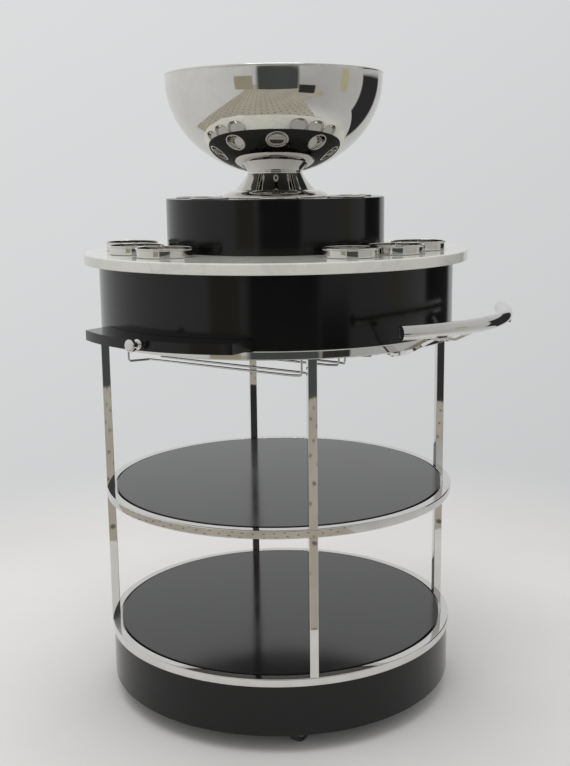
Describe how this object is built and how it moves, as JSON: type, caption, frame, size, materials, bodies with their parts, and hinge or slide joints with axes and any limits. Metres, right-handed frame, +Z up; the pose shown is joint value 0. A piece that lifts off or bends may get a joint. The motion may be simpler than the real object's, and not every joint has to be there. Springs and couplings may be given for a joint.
{
  "type": "serving cart",
  "caption": "Round chrome and black serving cart with two open bays, stone top, lift-off bowl on a drum, pull-out tray, push handle and hidden casters.",
  "frame": {"origin": "on the floor under the cart's vertical axis", "axes": "+Z up along the cart's axis; the tray pulls out toward -Y; the push handle is on +X"},
  "size_m": [0.8484, 0.809, 1.2274],
  "materials": {
    "chrome": "polished chrome plate",
    "lacquer": "satin black lacquer on board",
    "board": "black-stained board",
    "stone": "polished pale stone with faint grey specks",
    "plug": "matt black",
    "polished_steel": "mirror-polished stainless steel",
    "caster_steel": "bright zinc-plated steel",
    "tyre_rubber": "grey-black rubber"
  },
  "bodies": {
    "cart": {"skirt_wall": "lacquer", "caster_board": "board", "base_ring": "chrome", "base_panel": "lacquer", "lower_posts": "chrome", "mid_ring": "chrome", "mid_panel": "lacquer", "upper_posts": "chrome", "top_ring": "chrome", "apron_floor": "lacquer", "apron_drum": "lacquer", "sub_top": "board", "stone_top": "stone", "upper_drum": "lacquer", "handle_tube": "chrome", "handle_plugs": "plug", "ring_plug": "plug", "tray_guides": "caster_steel", "caster_plates": "caster_steel", "caster_screws": "caster_steel", "bracket_screws": "chrome", "rack_pads": "chrome", "handle_bracket_1": "chrome", "handle_bracket_2": "chrome", "glass_rack_1": "chrome", "glass_rack_2": "chrome", "glass_rack_3": "chrome", "glass_rack_4": "chrome"},
    "tray": {"tray_board": "lacquer", "tray_knob": "chrome"},
    "bowl": {"bowl": "polished_steel", "bowl_foot": "polished_steel"},
    "caster_1": {"caster_fork_1": "caster_steel", "caster_axle_1": "caster_steel"},
    "wheel_1": {"caster_wheel_1": "tyre_rubber"},
    "caster_2": {"caster_fork_2": "caster_steel", "caster_axle_2": "caster_steel"},
    "wheel_2": {"caster_wheel_2": "tyre_rubber"},
    "caster_3": {"caster_fork_3": "caster_steel", "caster_axle_3": "caster_steel"},
    "wheel_3": {"caster_wheel_3": "tyre_rubber"},
    "caster_4": {"caster_fork_4": "caster_steel", "caster_axle_4": "caster_steel"},
    "wheel_4": {"caster_wheel_4": "tyre_rubber"},
    "cup_1": {"cup_1": "polished_steel"},
    "cup_2": {"cup_2": "polished_steel"},
    "cup_3": {"cup_3": "polished_steel"},
    "cup_4": {"cup_4": "polished_steel"},
    "cup_5": {"cup_5": "polished_steel"},
    "cup_6": {"cup_6": "polished_steel"},
    "dish_1": {"dish_1": "polished_steel"},
    "dish_2": {"dish_2": "polished_steel"},
    "dish_3": {"dish_3": "polished_steel"},
    "dish_4": {"dish_4": "polished_steel"},
    "dish_5": {"dish_5": "polished_steel"},
    "dish_6": {"dish_6": "polished_steel"},
    "dish_7": {"dish_7": "polished_steel"}
  },
  "joints": [
    {"name": "tray_slide", "type": "slide", "parent": "cart", "child": "tray", "axis": [0, -1, 0], "range_m": [-0.062, 0.188]},
    {"name": "bowl_lift", "type": "slide", "parent": "cart", "child": "bowl", "axis": [0, 0, 1], "range_m": [0, 0.25]},
    {"name": "caster_1_swivel", "type": "hinge", "parent": "cart", "child": "caster_1", "pos_m": [0.19658, -0.19658, 0.06], "axis": [0, 0, 1], "continuous": true},
    {"name": "wheel_1_roll", "type": "hinge", "parent": "caster_1", "child": "wheel_1", "pos_m": [0.19658, -0.22158, 0.025], "axis": [1, 0, 0], "continuous": true},
    {"name": "caster_2_swivel", "type": "hinge", "parent": "cart", "child": "caster_2", "pos_m": [0.19658, 0.19658, 0.06], "axis": [0, 0, 1], "continuous": true},
    {"name": "wheel_2_roll", "type": "hinge", "parent": "caster_2", "child": "wheel_2", "pos_m": [0.19658, 0.17158, 0.025], "axis": [1, 0, 0], "continuous": true},
    {"name": "caster_3_swivel", "type": "hinge", "parent": "cart", "child": "caster_3", "pos_m": [-0.19658, 0.19658, 0.06], "axis": [0, 0, 1], "continuous": true},
    {"name": "wheel_3_roll", "type": "hinge", "parent": "caster_3", "child": "wheel_3", "pos_m": [-0.19658, 0.17158, 0.025], "axis": [1, 0, 0], "continuous": true},
    {"name": "caster_4_swivel", "type": "hinge", "parent": "cart", "child": "caster_4", "pos_m": [-0.19658, -0.19658, 0.06], "axis": [0, 0, 1], "continuous": true},
    {"name": "wheel_4_roll", "type": "hinge", "parent": "caster_4", "child": "wheel_4", "pos_m": [-0.19658, -0.22158, 0.025], "axis": [1, 0, 0], "continuous": true},
    {"name": "cup_1_lift", "type": "slide", "parent": "cart", "child": "cup_1", "axis": [0, 0, 1], "range_m": [0, 0.1]},
    {"name": "cup_2_lift", "type": "slide", "parent": "cart", "child": "cup_2", "axis": [0, 0, 1], "range_m": [0, 0.1]},
    {"name": "cup_3_lift", "type": "slide", "parent": "cart", "child": "cup_3", "axis": [0, 0, 1], "range_m": [0, 0.1]},
    {"name": "cup_4_lift", "type": "slide", "parent": "cart", "child": "cup_4", "axis": [0, 0, 1], "range_m": [0, 0.1]},
    {"name": "cup_5_lift", "type": "slide", "parent": "cart", "child": "cup_5", "axis": [0, 0, 1], "range_m": [0, 0.1]},
    {"name": "cup_6_lift", "type": "slide", "parent": "cart", "child": "cup_6", "axis": [0, 0, 1], "range_m": [0, 0.1]},
    {"name": "dish_1_lift", "type": "slide", "parent": "cart", "child": "dish_1", "axis": [0, 0, 1], "range_m": [0, 0.07]},
    {"name": "dish_2_lift", "type": "slide", "parent": "cart", "child": "dish_2", "axis": [0, 0, 1], "range_m": [0, 0.07]},
    {"name": "dish_3_lift", "type": "slide", "parent": "cart", "child": "dish_3", "axis": [0, 0, 1], "range_m": [0, 0.07]},
    {"name": "dish_4_lift", "type": "slide", "parent": "cart", "child": "dish_4", "axis": [0, 0, 1], "range_m": [0, 0.07]},
    {"name": "dish_5_lift", "type": "slide", "parent": "cart", "child": "dish_5", "axis": [0, 0, 1], "range_m": [0, 0.07]},
    {"name": "dish_6_lift", "type": "slide", "parent": "cart", "child": "dish_6", "axis": [0, 0, 1], "range_m": [0, 0.07]},
    {"name": "dish_7_lift", "type": "slide", "parent": "cart", "child": "dish_7", "axis": [0, 0, 1], "range_m": [0, 0.07]}
  ]
}
